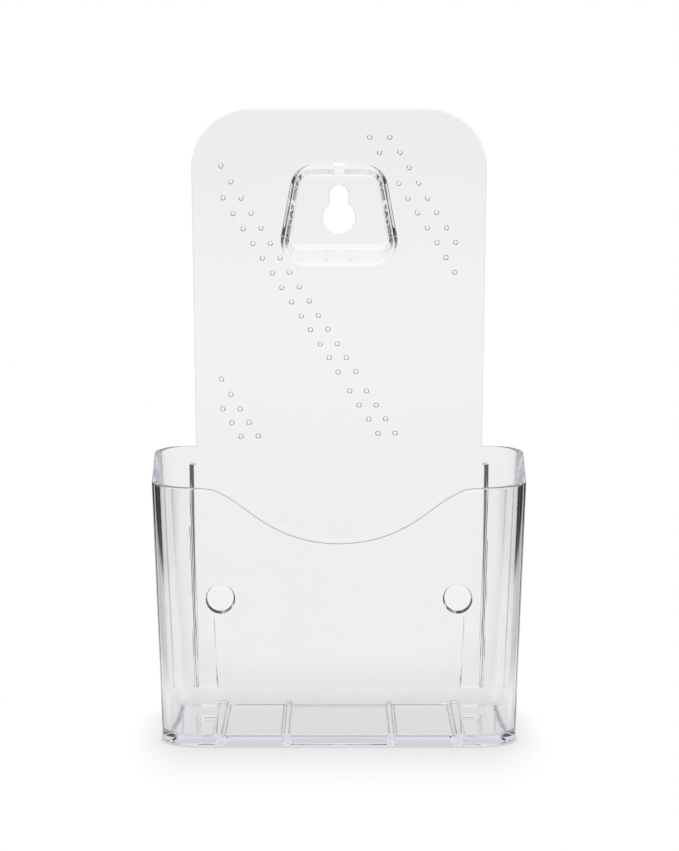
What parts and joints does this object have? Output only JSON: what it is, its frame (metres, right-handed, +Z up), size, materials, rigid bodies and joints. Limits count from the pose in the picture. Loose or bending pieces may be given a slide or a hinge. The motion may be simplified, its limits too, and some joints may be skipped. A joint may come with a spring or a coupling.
{
  "type": "leaflet holder",
  "caption": "Clear leaflet holder for a counter or a wall: a leaning back panel with a keyhole dish over an open tray with a scooped front rim.",
  "frame": {"origin": "centre of the whole part's footprint box, on the surface it stands on", "axes": "+X to the right as the user faces the open front, +Y to the rear, where the back panel leans, +Z up"},
  "size_m": [0.115, 0.0852, 0.1892],
  "materials": {
    "clear_panel": "polished clear crystal styrene, colourless with a faint lavender edge",
    "clear_dish": "polished clear crystal styrene, colourless with a faint lavender edge",
    "clear_front": "polished clear crystal styrene, colourless with a faint lavender edge",
    "clear_side": "polished clear crystal styrene, colourless with a faint lavender edge",
    "clear_floor": "polished clear crystal styrene, colourless with a faint lavender edge, darkest where the floor is seen edge on",
    "clear_rib": "polished clear crystal styrene, colourless with a faint lavender edge",
    "clear_rail": "polished clear crystal styrene, colourless with a faint lavender edge",
    "clear_pad": "polished clear crystal styrene, colourless with a faint lavender edge"
  },
  "bodies": {
    "root": {"back_panel": "clear_panel", "keyhole_dish": "clear_dish", "front_wall": "clear_front", "left_wall": "clear_side", "right_wall": "clear_side", "floor_plate": "clear_floor", "floor_rib_1": "clear_rib", "floor_rib_2": "clear_rib", "floor_rib_3": "clear_rib", "floor_rib_4": "clear_rib", "left_standoff_rail": "clear_rail", "right_standoff_rail": "clear_rail", "left_standoff_pad": "clear_pad", "right_standoff_pad": "clear_pad"}
  },
  "joints": []
}
